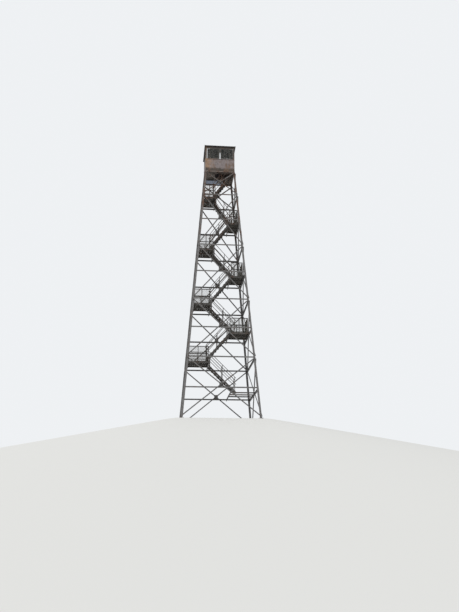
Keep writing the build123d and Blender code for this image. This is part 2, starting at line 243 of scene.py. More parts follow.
def surface(tree, **settings):
    """The shader of a surface, joined to the output of its material."""
    shader = add_node(tree, "ShaderNodeBsdfPrincipled", **settings)
    add_node(tree, "ShaderNodeOutputMaterial", Surface=shader.outputs[0])


old_rust = ((0.062, 0.036, 0.027), (0.165, 0.088, 0.056))
rust_climb = 0.55
patch_share = 0.68
coat_metal = 0.35
rust_roughness = 0.92


def coated_steel(
    name, clean, dull, rust_from, rust_to, high_rust=0.0, shine=0.55, rust_tones=old_rust
):
    """Old coated steel, its coat mottled from a clean tone to a dull one. Rust comes through in
    patches and in runs down it, none below rust_from and all over above rust_to, and high_rust
    adds to it on the upper part of the tower."""
    material, tree = new_material(name)
    clean, dull = (tone(tree) if callable(tone) else tone for tone in (clean, dull))
    mottle = cloudy(tree, object_place(tree), scale=7.0, detail=10.0, roughness=0.78)
    coat = blended(tree, stepped(tree, mottle, 0.35, 0.68), clean, dull)

    low_place = object_place(tree, stretch=(1, 1, 0.55))
    patches = cloudy(tree, low_place, scale=2.6, detail=10.0, roughness=0.68, distortion=0.4)
    runs = cloudy(tree, object_place(tree, stretch=(22, 22, 0.9)), scale=1.0, detail=5.0)
    height = coordinates(tree)[2]
    climb = stepped(tree, height, rust_climb * tower_height, tower_height, 0.0, high_rust)
    worn = calculated(tree, "ADD", calculated(tree, "MULTIPLY", patches, patch_share), climb)
    worn = calculated(tree, "ADD", worn, calculated(tree, "MULTIPLY", runs, 1 - patch_share))
    rusted = stepped(tree, worn, rust_from, rust_to)
    tone = cloudy(tree, object_place(tree), scale=31.0, detail=7.0, roughness=0.7)
    rust = blended(tree, stepped(tree, tone, 0.36, 0.66), *rust_tones)

    grain = cloudy(tree, object_place(tree), scale=160.0, detail=4.0)
    relief = calculated(tree, "MULTIPLY", grain, stepped(tree, rusted, 0.0, 1.0, to_low=0.25))
    bump = add_node(tree, "ShaderNodeBump", Height=relief, Strength=0.35, Distance=0.0012)
    surface(
        tree,
        Base_Color=blended(tree, rusted, coat, rust),
        Roughness=stepped(tree, rusted, 0.0, 1.0, shine, rust_roughness),
        Metallic=stepped(tree, rusted, 0.0, 1.0, coat_metal, 0.0),
        Normal=bump.outputs[0],
    )
    return material


def dress(node_names, material):
    """Give CAD nodes their finish."""
    for name in node_names:
        mesh = nodes[name].data
        mesh.materials.clear()
        mesh.materials.append(material)


leg_coat = coated_steel(
    "leg_coat",
    clean=(0.185, 0.182, 0.182),
    dull=(0.105, 0.100, 0.098),
    rust_from=0.54,
    rust_to=0.68,
    high_rust=0.14,
)
dress(("near_left_leg", "near_right_leg", "far_right_leg", "far_left_leg"), leg_coat)


# The whole frame is bolted: a hexagon head and a washer outside, a nut and a washer inside.
# Each leg is spliced twice, with a row of eight bolts in each flange.
bolt_head = 0.027
bolt_head_height = 0.010
head_chamfer = 0.0025
head_crown = 0.0015
washer_radius = 0.017
washer_thickness = 0.003
bolt_grip = 0.018
nut_rim = 0.006
bolt_end = 0.009
tolerance = 1e-5
bolt_coat = coated_steel(
    "bolt_coat",
    clean=(0.150, 0.140, 0.132),
    dull=(0.095, 0.082, 0.074),
    rust_from=0.42,
    rust_to=0.56,
    high_rust=0.12,
)


def settle():
    """Put the place, turn and size of the selected piece into its mesh."""
    bpy.ops.object.transform_apply(location=True, rotation=True, scale=True)


def pick_faces(test):
    """In edit mode, select just the faces whose middle and normal pass the test."""
    mesh = bmesh.from_edit_mesh(bpy.context.object.data)
    bpy.ops.mesh.select_mode(type="FACE")
    bpy.ops.mesh.select_all(action="DESELECT")
    for face in mesh.faces:
        face.select_set(test(face.calc_center_median(), face.normal))
    bmesh.update_edit_mesh(bpy.context.object.data)


def add_round(corners, radius, low, high):
    """An upright cylinder or prism on the Z axis, from one height to another."""
    bpy.ops.mesh.primitive_cylinder_add(
        vertices=corners, radius=radius, depth=high - low, location=(0, 0, (low + high) / 2)
    )


def bolt_model(grip=bolt_grip):
    """One bolt along Z, with the outer face of what it holds at the origin."""
    head_top = washer_thickness + bolt_head_height
    inner_face = -grip - washer_thickness
    nut_face = inner_face - bolt_head_height
    nothing_selected()
    add_round(12, washer_radius, 0, washer_thickness)
    settle()
    bpy.ops.object.mode_set(mode="EDIT")
    add_round(6, bolt_head / math.sqrt(3), washer_thickness, head_top)
    pick_faces(lambda middle, normal: middle.z > head_top - tolerance)
    bpy.ops.mesh.inset(thickness=head_chamfer)
    bpy.ops.transform.translate(value=(0, 0, head_crown))
    add_round(12, washer_radius, inner_face, -grip)
    add_round(6, bolt_head / math.sqrt(3), nut_face, inner_face)
    pick_faces(lambda middle, normal: middle.z < nut_face + tolerance)
    bpy.ops.mesh.inset(thickness=nut_rim)
    bpy.ops.mesh.extrude_region_move(TRANSFORM_OT_translate={"value": (0, 0, -bolt_end)})
    bpy.ops.object.mode_set(mode="OBJECT")
    return bpy.context.object


def joined(pieces):
    """Several pieces as one mesh."""
    nothing_selected()
    for piece in pieces:
        piece.select_set(True)
    bpy.context.view_layer.objects.active = pieces[0]
    bpy.ops.object.join()
    return pieces[0]


def set_out(model, places):
    """One piece made of copies of a model, one at each place; the model itself goes."""
    copies = []
    for place in places:
        copy = model.copy()
        copy.data = model.data.copy()
        copy.matrix_world = place
        bpy.context.scene.collection.objects.link(copy)
        copies.append(copy)
    bpy.data.objects.remove(model)
    piece = joined(copies)
    settle()
    return piece


def finished(piece, name, material):
    """Name a piece, give it its finish, and let it ride on the tower."""
    piece.name = name
    piece.data.name = name
    piece.data.materials.clear()
    piece.data.materials.append(material)
    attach(piece, "root")


def on_side(turn, along, up, out=0.0):
    """A place on a leaning side: along it, up its slope, and out from the legs' outer faces."""
    stand = Matrix.Rotation(math.radians(turn), 4, "Z") @ Matrix.Translation((0, -base_half, 0))
    leaning = Matrix.Rotation(math.pi / 2 - lean, 4, "X")
    return stand @ leaning @ Matrix.Translation((along, up, out))


sides = {"near": 0, "right": 90, "far": 180, "left": 270}
splice_storeys = (3.45, 6.45)
splice_gauge = 0.055
splice_bolt_rows = (-0.18, -0.13, -0.08, -0.03, 0.03, 0.08, 0.13, 0.18)
bolt_places = []
for turn in sides.values():
    for level in splice_storeys:
        for row in splice_bolt_rows:
            height = level * storey + row
            for end in (-1, 1):
                along = end * (half_width(height) - splice_gauge)
                bolt_places.append(on_side(turn, along, height / math.cos(lean)))
finished(set_out(bolt_model(), bolt_places), "splice_bolts", bolt_coat)


# The feet are welded plates. Four anchor bolts hold each of them down, and each bolt has a
# nut on a washer.
plate_coat = coated_steel(
    "plate_coat",
    clean=(0.17, 0.16, 0.15),
    dull=(0.10, 0.092, 0.085),
    rust_from=0.46,
    rust_to=0.60,
)
dress(["feet"], plate_coat)
foot_middle = base_half - leg_flange / 2
foot_thickness = 0.020
anchor_spacing = 0.24
anchor_top = 0.075
anchor_washer_radius = 0.024
anchor_washer = 0.004
anchor_nut = 0.034
anchor_nut_height = 0.018
anchor_crown = 0.002
nut_shoulder = 0.004
shank_step = 0.0045

nut_foot = foot_thickness + anchor_washer
nut_top = nut_foot + anchor_nut_height
shank_length = anchor_top - nut_top - anchor_crown
nothing_selected()
add_round(16, anchor_washer_radius, foot_thickness, nut_foot)
settle()
bpy.ops.object.mode_set(mode="EDIT")
add_round(6, anchor_nut / math.sqrt(3), nut_foot, nut_top)
pick_faces(lambda middle, normal: middle.z > nut_top - tolerance)
bpy.ops.mesh.inset(thickness=nut_shoulder)
bpy.ops.transform.translate(value=(0, 0, anchor_crown))
bpy.ops.mesh.inset(thickness=shank_step)
bpy.ops.mesh.extrude_region_move(TRANSFORM_OT_translate={"value": (0, 0, shank_length)})
bpy.ops.mesh.inset(thickness=anchor_crown)
bpy.ops.transform.translate(value=(0, 0, anchor_crown))
bpy.ops.object.mode_set(mode="OBJECT")
anchor_places = []
for x in (-foot_middle, foot_middle):
    for y in (-foot_middle, foot_middle):
        for dx in (-anchor_spacing / 2, anchor_spacing / 2):
            for dy in (-anchor_spacing / 2, anchor_spacing / 2):
                anchor_places.append(Matrix.Translation((x + dx, y + dy, 0)))
finished(set_out(bpy.context.object, anchor_places), "anchor_nuts", plate_coat)


# The girts are angles on the near and far sides and deep channels on the other two, bolted
# inside the legs. The braces are crossed angles bolted outside them, with a centre plate.
lattice_coat = coated_steel(
    "lattice_coat",
    clean=(0.165, 0.162, 0.160),
    dull=(0.090, 0.087, 0.085),
    rust_from=0.53,
    rust_to=0.66,
    high_rust=0.08,
)
dress([f"{side}_girts" for side in sides], lattice_coat)
dress([f"{side}_braces" for side in sides], lattice_coat)
dress(["stair_beams"], lattice_coat)

brace_panels = ((0, 2), (2, 4), (4, 6), (6, 8), (8, 9))
brace_inset = 0.065
brace_gaps = {"foot": 0.190, "end": 0.095, "top": 0.060}
brace_thickness = 0.007
cab_frame_depth = 0.150
leg_top = tower_height - cab_frame_depth
end_bolts = (0.022, 0.062)
cross_bolts = (-0.112, -0.074, 0.074, 0.112)
angle_bolts = ((0.106, 0.000), (0.106, -0.045))
channel_bolts = ((0.034, -0.064), (0.034, -0.162))


def brace_bolts(turn, lower, upper):
    """The bolts of one cross of a side: two at each end of a bar, and four at the crossing."""
    low = lower * storey + (brace_gaps["end"] if lower else brace_gaps["foot"])
    high = upper * storey - brace_gaps["end"] if upper < storeys else leg_top - brace_gaps["top"]
    foot = Vector((half_width(low) - brace_inset, low / math.cos(lean)))
    head = Vector((half_width(high) - brace_inset, high / math.cos(lean)))
    places = []
    for hand in (-1, 1):
        start = Vector((-hand * foot.x, foot.y))
        end = Vector((hand * head.x, head.y))
        bar = (end - start).normalized()
        crossing = start.lerp(end, foot.x / (foot.x + head.x))
        spots = [start + bar * step for step in end_bolts]
        spots += [end - bar * step for step in end_bolts]
        spots += [crossing + bar * step for step in cross_bolts]
        places += [on_side(turn, *spot, brace_thickness) for spot in spots]
    return places


def girt_bolts(turn, level, spots):
    """The bolts at both ends of one girt, each spot so far from the corner and above the storey."""
    places = []
    for end in (-1, 1):
        for from_corner, up in spots:
            along = end * (half_width(level * storey) - from_corner)
            places.append(on_side(turn, along, level * storey / math.cos(lean) + up))
    return places


bolt_places = []
for side, turn in sides.items():
    for lower, upper in brace_panels:
        bolt_places += brace_bolts(turn, lower, upper)
    spots = angle_bolts if side in ("near", "far") else channel_bolts
    for level in range(1, storeys):
        bolt_places += girt_bolts(turn, level, spots)
finished(set_out(bolt_model(), bolt_places), "lattice_bolts", bolt_coat)


# The landings are channel joists with posts and rails of angle. All but the lowest have a
# deck of old planks, laid across the joists with narrow gaps.
landing_coat = coated_steel(
    "landing_coat",
    clean=(0.110, 0.104, 0.098),
    dull=(0.060, 0.055, 0.052),
    rust_from=0.50,
    rust_to=0.64,
    high_rust=0.08,
)
dress([f"landing_{number}" for number in range(1, storeys)], landing_coat)
grain_share = 0.6
plank_share = 0.25
stain_share = 0.25


def aged_planks(name, pale, dark, along):
    """Old bare timber: grain along the planks, each plank of its own tone, damp stains."""
    material, tree = new_material(name)
    stretch = [9.0, 9.0, 9.0]
    stretch["xyz".index(along)] = 0.7
    drawn = object_place(tree, stretch)
    grain = cloudy(tree, drawn, scale=6.0, detail=9.0, roughness=0.72, distortion=0.8)
    stains = cloudy(tree, object_place(tree), scale=2.3, detail=5.0)
    each = add_node(tree, "ShaderNodeNewGeometry").outputs["Random Per Island"]
    tone = calculated(tree, "MULTIPLY", grain, grain_share)
    tone = calculated(tree, "ADD", tone, calculated(tree, "MULTIPLY", each, plank_share))
    tone = calculated(tree, "ADD", tone, calculated(tree, "MULTIPLY", stains, stain_share))
    colour = blended(tree, stepped(tree, tone, 0.38, 0.72), dark, pale)
    bump = add_node(tree, "ShaderNodeBump", Height=grain, Strength=0.5, Distance=0.002)
    surface(tree, Base_Color=colour, Roughness=0.88, Normal=bump.outputs[0])
    return material


# The deck planks are darker than the wood alone. Their colours are partly weathered wood and partly
# painted shade, for the shade under the landings.
deck_timber_and_shade = aged_planks(
    "deck_timber_and_shade", pale=(0.074, 0.066, 0.055), dark=(0.020, 0.018, 0.015), along="y"
)
# How far from the middle each landing begins, and last the end of the hatch in the cab floor
landing_starts = (0.70, 0.68, 0.64, 0.58, 0.74, 0.40, 0.64, 0.26, 0.80)
landing_half_depth = 0.80
deck_thickness = 0.038
deck_clearance = 0.004
board_width = 0.140
board_gap = 0.007
board_short = 0.004
board_thinner = 0.003
board_wear = 0.0022
board_edge = 0.004
board_shift = 0.006
board_sink = (0.0006, 0.0024)


def block(size, middle):
    """A cube at its size and place, its place in its mesh, ready to be shaped."""
    nothing_selected()
    bpy.ops.mesh.primitive_cube_add(size=1, location=middle, scale=size)
    settle()
    return bpy.context.object


def eased(piece, width, segments=1):
    """Take the sharp edges of the active piece off with a bevel."""
    bevel = piece.modifiers.new("eased_edges", "BEVEL")
    bevel.width = width
    bevel.segments = segments
    bevel.limit_method = "ANGLE"
    bpy.ops.object.modifier_apply(modifier=bevel.name)
    return piece


def board_model(length, width, thickness):
    """One old board along X, its top at the origin: rough sawn, its edges worn round."""
    board = block((length, width, thickness), (0, 0, -thickness / 2))
    bpy.ops.object.mode_set(mode="EDIT")
    bpy.ops.mesh.select_all(action="SELECT")
    bpy.ops.mesh.subdivide(number_cuts=3)
    pick_faces(lambda middle, normal: abs(normal.z) > 0.5)
    bpy.ops.transform.vertex_random(offset=board_wear, uniform=1, normal=0, seed=3)
    bpy.ops.object.mode_set(mode="OBJECT")
    return eased(board, board_edge, segments=2)


def landing_ends(number):
    """Which way a landing lies from the middle, and how far out its deck begins and ends."""
    right = 1 if number % 2 else -1
    outer = half_width(number * storey) - leg_thickness * math.cos(lean) - deck_clearance
    return right, landing_starts[number - 1], outer


def board_lines(number):
    """The middle line of each board of a landing, from its inner edge out, and their pitch."""
    right, inner, outer = landing_ends(number)
    count = round((outer - inner) / (board_width + board_gap))
    pitch = (outer - inner) / count
    return [right * (inner + (index + 0.5) * pitch) for index in range(count)], pitch


random.seed(7)
decked = range(2, storeys)
board_places = []
for number in decked:
    lines, pitch = board_lines(number)
    for x in lines:
        shift = random.uniform(-board_shift, 0.0)
        turned = Matrix.Rotation(math.pi / 2 * random.choice((-1, 1)), 4, "Z")
        longer = 1 + shift / landing_half_depth
        wider = (pitch - board_gap) / board_width
        top = number * storey - random.uniform(*board_sink)
        place = Matrix.Translation((x, shift / 2, top))
        board_places.append(place @ turned @ Matrix.Diagonal((longer, wider, 1, 1)))
board = board_model(
    2 * landing_half_depth - board_short, board_width, deck_thickness - board_thinner
)
boards = set_out(board, board_places)
finished(boards, "deck_boards", deck_timber_and_shade)
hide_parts("landing_decks")


# Two big flat nails hold each board to each of the three joists. They stand a little out of
# line, as driven by hand.
nail_radius = 0.006
nail_height = 0.005
nail_sink = 0.0009
nail_rim = 0.0024
nail_crown = 0.0007
nail_from_middle = 0.038
nail_strays = (0.006, 0.008)
joist_in = 0.020
joist_lines = (-landing_half_depth + joist_in, joist_in, landing_half_depth - joist_in)
nothing_selected()
add_round(8, nail_radius, -nail_height - nail_sink, -nail_sink)
nail = bpy.context.object
settle()
bpy.ops.object.mode_set(mode="EDIT")
pick_faces(lambda middle, normal: normal.z > 0.9)
bpy.ops.mesh.inset(thickness=nail_rim)
bpy.ops.transform.translate(value=(0, 0, nail_crown))
bpy.ops.object.mode_set(mode="OBJECT")
nail_places = []
for number in decked:
    lines, pitch = board_lines(number)
    for line in lines:
        for joist in joist_lines:
            for side in (-1, 1):
                x = line + side * nail_from_middle + random.uniform(-nail_strays[0], nail_strays[0])
                y = joist + random.uniform(-nail_strays[1], nail_strays[1])
                nail_places.append(Matrix.Translation((x, y, number * storey)))
finished(set_out(nail, nail_places), "deck_nails", bolt_coat)


# Woven wire fills the guards of the landings. It is tied to the inner faces of the rails along
# the two long edges, and to the outer faces of those across the end.
wire_radius = 0.0028
wire_rim = 0.00084
wire_pitch = 0.032
guard_height = 1.0
guard_inset = 0.112
fit_gap = 0.0005
beam_flange = 0.050
wire_foot = 0.006
wire_coat = coated_steel(
    "wire_coat",
    clean=(0.135, 0.132, 0.112),
    dull=(0.085, 0.082, 0.068),
    rust_from=0.54,
    rust_to=0.68,
    high_rust=0.06,
)


def wire_row(length, count, upright):
    """A row of equal wires in the XZ plane, from the origin up and to the right."""
    nothing_selected()
    bpy.ops.mesh.primitive_cylinder_add(vertices=6, radius=wire_radius, depth=length)
    wire = bpy.context.object
    wire.rotation_euler = (0, 0, 0) if upright else (0, math.pi / 2, 0)
    wire.location = (0, wire_radius, length / 2) if upright else (length / 2, -wire_radius, 0)
    settle()
    bpy.ops.object.mode_set(mode="EDIT")
    pick_faces(lambda middle, normal: abs(normal[2 if upright else 0]) > 0.9)
    bpy.ops.mesh.inset(thickness=wire_rim)
    bpy.ops.object.mode_set(mode="OBJECT")
    row = wire.modifiers.new("row", "ARRAY")
    row.count = count
    row.use_relative_offset = False
    row.use_constant_offset = True
    row.constant_offset_displace = (wire_pitch, 0, 0) if upright else (0, 0, wire_pitch)
    bpy.ops.object.modifier_apply(modifier=row.name)
    return wire


def wire_panel(length, height):
    """A panel of woven wire in the XZ plane, its lower left corner at the origin."""
    uprights = wire_row(height, int(length / wire_pitch) + 1, upright=True)
    levels = wire_row(length, int(height / wire_pitch) + 1, upright=False)
    return joined([uprights, levels])


def guard_ends(number):
    """Which way a landing lies from the middle, and how far out its first and last posts are."""
    right, inner, outer = landing_ends(number)
    return right, inner + beam_flange + fit_gap, outer - guard_inset


panel_height = guard_height - 2 * wire_foot
edge = landing_half_depth - 2 * wire_radius
panels = []
end_places = []
for number in decked:
    right, first_post, last_post = guard_ends(number)
    foot = number * storey + wire_foot
    left_end = min(right * first_post, right * last_post)
    edge_places = [Matrix.Translation((left_end, side * edge, foot)) for side in (-1, 1)]
    panels.append(set_out(wire_panel(last_post - first_post, panel_height), edge_places))
    end = Matrix.Translation((right * (last_post + 2 * wire_radius), -landing_half_depth, foot))
    end_places.append(end @ Matrix.Rotation(math.pi / 2, 4, "Z"))
panels.append(set_out(wire_panel(2 * landing_half_depth, panel_height), end_places))
finished(joined(panels), "guard_wire", wire_coat)


# Two smaller bolts hold each post of a guard to the web of the joist that it stands against.
# Their heads are on the outer face of the post.
small_share = 0.65
small_bolt = Matrix.Scale(small_share, 4)
facing = {side: Matrix.Rotation(-side * math.pi / 2, 4, "X") for side in (-1, 1)}
guard_thickness = 0.005
post_bolt_drops = (0.022, 0.057)
post_bolt_in = 0.026
post_face = landing_half_depth + fit_gap + guard_thickness
bolt_places = []
for number in decked:
    right, first_post, last_post = guard_ends(number)
    posts = ((first_post, 1), ((first_post + last_post) / 2, 1), (last_post, -1))
    deck_bottom = number * storey - deck_thickness
    for side in (-1, 1):
        for post, way in posts:
            x = right * (post + way * post_bolt_in)
            for drop in post_bolt_drops:
                place = Matrix.Translation((x, side * post_face, deck_bottom - drop))
                bolt_places.append(place @ facing[side] @ small_bolt)
finished(set_out(bolt_model(), bolt_places), "guard_bolts", bolt_coat)


# Each flight has two strings of bent plate with posts and handrails, and nine plank treads.
# Each tread is one thick plank, its nosing worn hollow and round.
stair_coat = coated_steel(
    "stair_coat",
    clean=(0.140, 0.132, 0.124),
    dull=(0.075, 0.069, 0.065),
    rust_from=0.50,
    rust_to=0.64,
    high_rust=0.10,
)
flight_numbers = range(2, storeys + 1)
dress([f"flight_{number}_strings" for number in flight_numbers], stair_coat)
tread_timber = aged_planks(
    "tread_timber", pale=(0.085, 0.074, 0.062), dark=(0.024, 0.021, 0.018), along="y"
)
risers = 10
flight_starts = (1.16, 0.92, 1.18, 0.70, 1.18, 0.72, 1.00, 0.48)
tread_depth = 0.225
tread_thickness = 0.038
tread_play = 0.002
tread_sink = 0.001
tread_wear = 0.0012
tread_edge = 0.005
hollow_half = 0.11
hollow_depth = 0.003
lane_width = 0.70
lane_gap = 0.10
string_flange = 0.040
lane_middle = (lane_gap + lane_width) / 2
string_half = lane_width / 2 - string_flange
step_rise = storey / risers


def tread_places(direction):
    """The places of the treads of all flights that rise one way, at the top of each nosing."""
    places = []
    for number in flight_numbers:
        if (1 if number % 2 else -1) != direction:
            continue
        start = flight_starts[number - flight_numbers[0]]
        going = (start + landing_starts[number - 1]) / (risers - 1)
        for step in range(1, risers):
            x = direction * ((step - 1) * going - start)
            nosing = Vector((x, -direction * lane_middle, (number - 1) * storey + step * step_rise))
            turned = Matrix.Rotation(0 if direction > 0 else math.pi, 4, "Z")
            places.append(Matrix.Translation(nosing) @ turned)
    return places


def tread_model():
    """One plank tread, the top of its nosing at the origin, worn hollow where feet fall."""
    tread = block(
        (tread_depth - tread_play, 2 * string_half - tread_play, tread_thickness - tread_sink),
        (tread_depth / 2, 0, -(tread_thickness + tread_sink) / 2),
    )
    bpy.ops.object.mode_set(mode="EDIT")
    bpy.ops.mesh.select_all(action="SELECT")
    bpy.ops.mesh.subdivide(number_cuts=2)
    pick_faces(lambda middle, normal: normal.z > 0.5 and abs(middle.y) < hollow_half)
    bpy.ops.transform.translate(value=(0, 0, -hollow_depth))
    pick_faces(lambda middle, normal: abs(normal.z) > 0.5)
    bpy.ops.transform.vertex_random(offset=tread_wear, uniform=1, normal=0, seed=5)
    bpy.ops.object.mode_set(mode="OBJECT")
    return eased(tread, tread_edge, segments=2)


for label, direction in (("treads_rising_right", 1), ("treads_rising_left", -1)):
    treads = set_out(tread_model(), tread_places(direction))
    finished(treads, f"worn_{label}", tread_timber)
    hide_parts(label)


# Each tread lies on two short cleats of steel angle, one along each string, with a flange
# under the plank and a flange that hangs down against the string.
cleat_length = 0.165
cleat_flange = 0.038
cleat_thickness = 0.005
cleat_from_back = 0.012
angle_edge = 0.001


def angle_model(length, flange, thickness, way):
    """A short angle along X, its corner at the origin: one flange lies flat towards -Y, and the
    other stands up where way is 1, or hangs down where it is -1."""
    angle = block((length, flange, thickness), (0, -flange / 2, way * thickness / 2))
    bpy.ops.object.mode_set(mode="EDIT")
    bpy.ops.mesh.select_all(action="SELECT")
    bpy.ops.mesh.bisect(plane_co=(0, -thickness, 0), plane_no=(0, 1, 0))
    pick_faces(lambda middle, normal: way * normal.z > 0.5 and middle.y > -thickness)
    other_flange = (0, 0, way * (flange - thickness))
    bpy.ops.mesh.extrude_region_move(TRANSFORM_OT_translate={"value": other_flange})
    bpy.ops.object.mode_set(mode="OBJECT")
    return eased(angle, angle_edge)


cleat_x = tread_depth - cleat_from_back - cleat_length / 2
cleat_places = []
for place in tread_places(1) + tread_places(-1):
    for hand, turn in ((1, 0), (-1, math.pi)):
        under = Matrix.Translation((cleat_x, hand * string_half, -tread_thickness))
        cleat_places.append(place @ under @ Matrix.Rotation(turn, 4, "Z"))
cleat = angle_model(cleat_length, cleat_flange, cleat_thickness, -1)
finished(set_out(cleat, cleat_places), "tread_cleats", stair_coat)


# The handrail and the middle rail are bolted to each post. A small angle clip holds the foot
# of each string, with one bolt through the web and one down through the deck.
string_foot_lead = 0.030
handrail_height = 0.900
middle_rail_height = 0.450
handrail_bolt_drop = 0.022
rail_bar = 0.040
rail_thickness = 0.005
rail_post_places = (0.04, 0.5, 0.96)
rail_face = lane_width / 2 + fit_gap + rail_thickness
clip_size = 0.050
clip_thickness = 0.005
clip_bolt = 0.028
clip_gap = 0.003

rail_bolt_places = []
web_bolt_places = []
deck_bolt_places = []
clip_places = []
for number in flight_numbers:
    direction = 1 if number % 2 else -1
    start = flight_starts[number - flight_numbers[0]]
    run = start + landing_starts[number - 1]
    steepness = step_rise * (risers - 1) / run
    handrail_bolt = handrail_height - handrail_bolt_drop * math.hypot(1, steepness)
    low = (number - 1) * storey
    lane_y = -direction * lane_middle
    for outward in (-1, 1):
        for place in rail_post_places:
            along = place * (run + string_foot_lead - rail_bar) - string_foot_lead + rail_bar / 2
            nosing = low + step_rise + along * steepness
            for height in (nosing + middle_rail_height, nosing + handrail_bolt):
                spot = (direction * (along - start), lane_y + outward * rail_face, height)
                rail_bolt_places.append(Matrix.Translation(spot) @ facing[outward] @ small_bolt)
        # The lowest flight that is left stands on bare joists, and has no clips
        if number == flight_numbers[0]:
            continue
        foot = Vector((-direction * (start + clip_gap), lane_y + outward * string_half, low))
        turned = Matrix.Rotation(0 if outward > 0 else math.pi, 4, "Z")
        clip_places.append(Matrix.Translation(foot) @ turned)
        web_spot = foot + Vector((0, -outward * clip_thickness, clip_bolt))
        web_bolt_places.append(Matrix.Translation(web_spot) @ facing[-outward] @ small_bolt)
        deck_spot = foot + Vector((0, -outward * clip_bolt, clip_thickness))
        deck_bolt_places.append(Matrix.Translation(deck_spot) @ small_bolt)
deck_grip = (deck_thickness + clip_thickness) / small_share
side_bolts = set_out(bolt_model(), rail_bolt_places + web_bolt_places)
deck_bolts = set_out(bolt_model(deck_grip), deck_bolt_places)
finished(joined([side_bolts, deck_bolts]), "stair_bolts", bolt_coat)
clip = angle_model(clip_size, clip_size, clip_thickness, 1)
finished(set_out(clip, clip_places), "string_clips", stair_coat)


# The cab stands on a frame of joists. Its plank floor is laid across them, with a hatch for
# the stairs.
frame_coat = coated_steel(
    "frame_coat",
    clean=(0.215, 0.184, 0.166),
    dull=(0.132, 0.113, 0.100),
    rust_from=0.44,
    rust_to=0.60,
)
dress(["cab_floor_frame"], frame_coat)
floor_timber = aged_planks(
    "floor_timber", pale=(0.225, 0.194, 0.168), dark=(0.094, 0.081, 0.070), along="x"
)
cab_setback = 0.013
cab_half = top_half - cab_setback
floor_gap = 0.004
floor_short = 0.002
floor_sink = (0.0004, 0.0016)
hatch_length = 1.12
hatch_play = 0.010
hatch_ends = (landing_starts[-1] - hatch_length, landing_starts[-1])
hatch_half = lane_width / 2 + hatch_play
hatch_sides = (-lane_middle - hatch_half, -lane_middle + hatch_half)


def floor_strip(low, high, left, right):
    """The places of the boards along X that fill a strip, cut to the length between its ends."""
    count = round((high - low) / (board_width + board_gap))
    pitch = (high - low) / count
    fitted = ((right - left) / (2 * cab_half), (pitch - floor_gap) / board_width, 1, 1)
    places = []
    for index in range(count):
        y = low + (index + 0.5) * pitch
        top = tower_height - random.uniform(*floor_sink)
        place = Matrix.Translation(((left + right) / 2, y, top))
        places.append(place @ Matrix.Diagonal(fitted))
    return places


floor_places = floor_strip(-cab_half, hatch_sides[0], -cab_half, cab_half)
floor_places += floor_strip(*hatch_sides, -cab_half, hatch_ends[0])
floor_places += floor_strip(*hatch_sides, hatch_ends[1], cab_half)
floor_places += floor_strip(hatch_sides[1], cab_half, -cab_half, cab_half)
board = board_model(2 * cab_half - floor_short, board_width, deck_thickness - board_thinner)
floor_boards = set_out(board, floor_places)
finished(floor_boards, "cab_floor_boards", floor_timber)
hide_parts("cab_floor")


# A strip of thin sheet is fixed up under the joists along the far side, its edges folded up.
# Its pale blue grey is a painted highlight, the sky's reflection on the far beam. It is the one
# pale thing under the cab.
# Painted highlight: a pale bluish coat that stands in for the sky's reflection under the cab
sky_sheen_coat = coated_steel(
    "under_floor_sky_sheen",
    clean=(0.330, 0.380, 0.490),
    dull=(0.270, 0.305, 0.380),
    rust_from=0.60,
    rust_to=0.72,
    shine=0.6,
)
floor_joist = 0.100
sheen_sheet_ends = (-0.92, 0.30)
sheen_sheet_sides = (0.28, 0.92)
sheen_sheet_thickness = 0.002
sheen_sheet_fold = 0.018
sheen_sheet_depth = 0.006
sheen_sheet_edge = 0.0006
joist_bottom = tower_height - deck_thickness - floor_joist
sheen_sheet = block(
    (sheen_sheet_ends[1] - sheen_sheet_ends[0], sheen_sheet_sides[1] - sheen_sheet_sides[0], sheen_sheet_thickness),
    (sum(sheen_sheet_ends) / 2, sum(sheen_sheet_sides) / 2, joist_bottom - fit_gap - sheen_sheet_thickness / 2),
)
bpy.ops.object.mode_set(mode="EDIT")
pick_faces(lambda middle, normal: normal.z < -0.5)
bpy.ops.mesh.inset(thickness=sheen_sheet_fold)
bpy.ops.transform.translate(value=(0, 0, -sheen_sheet_depth))
bpy.ops.object.mode_set(mode="OBJECT")
finished(eased(sheen_sheet, sheen_sheet_edge), "under_floor_sheet", sky_sheen_coat)


# The cab walls are sheet steel between square corner posts, once painted a pale pinkish grey.
# Rust has come through the paint in large patches, and the paint is darker brown at the foot.
# Above the sills it carries painted shade, the shadow of the eaves on the posts and top plate.
sill_height = 0.93
sill_top = tower_height + sill_height
wall_rust = ((0.085, 0.056, 0.043), (0.250, 0.160, 0.105))
rust_wash = (0.300, 0.188, 0.112)
wash_reach = (-0.95, -0.35)
wash_ragged = 2.2
# One dark brown for the darker foot and for the painted shade of the eaves
foot_brown_and_eave_shade = (0.058, 0.047, 0.039)
foot_dark_rise = (-0.088, 0.092)
foot_dark_ragged = 0.36
# Where the painted shade of the eaves begins and ends, measured from the sill top
eave_shade_rise = (-0.018, 0.042)


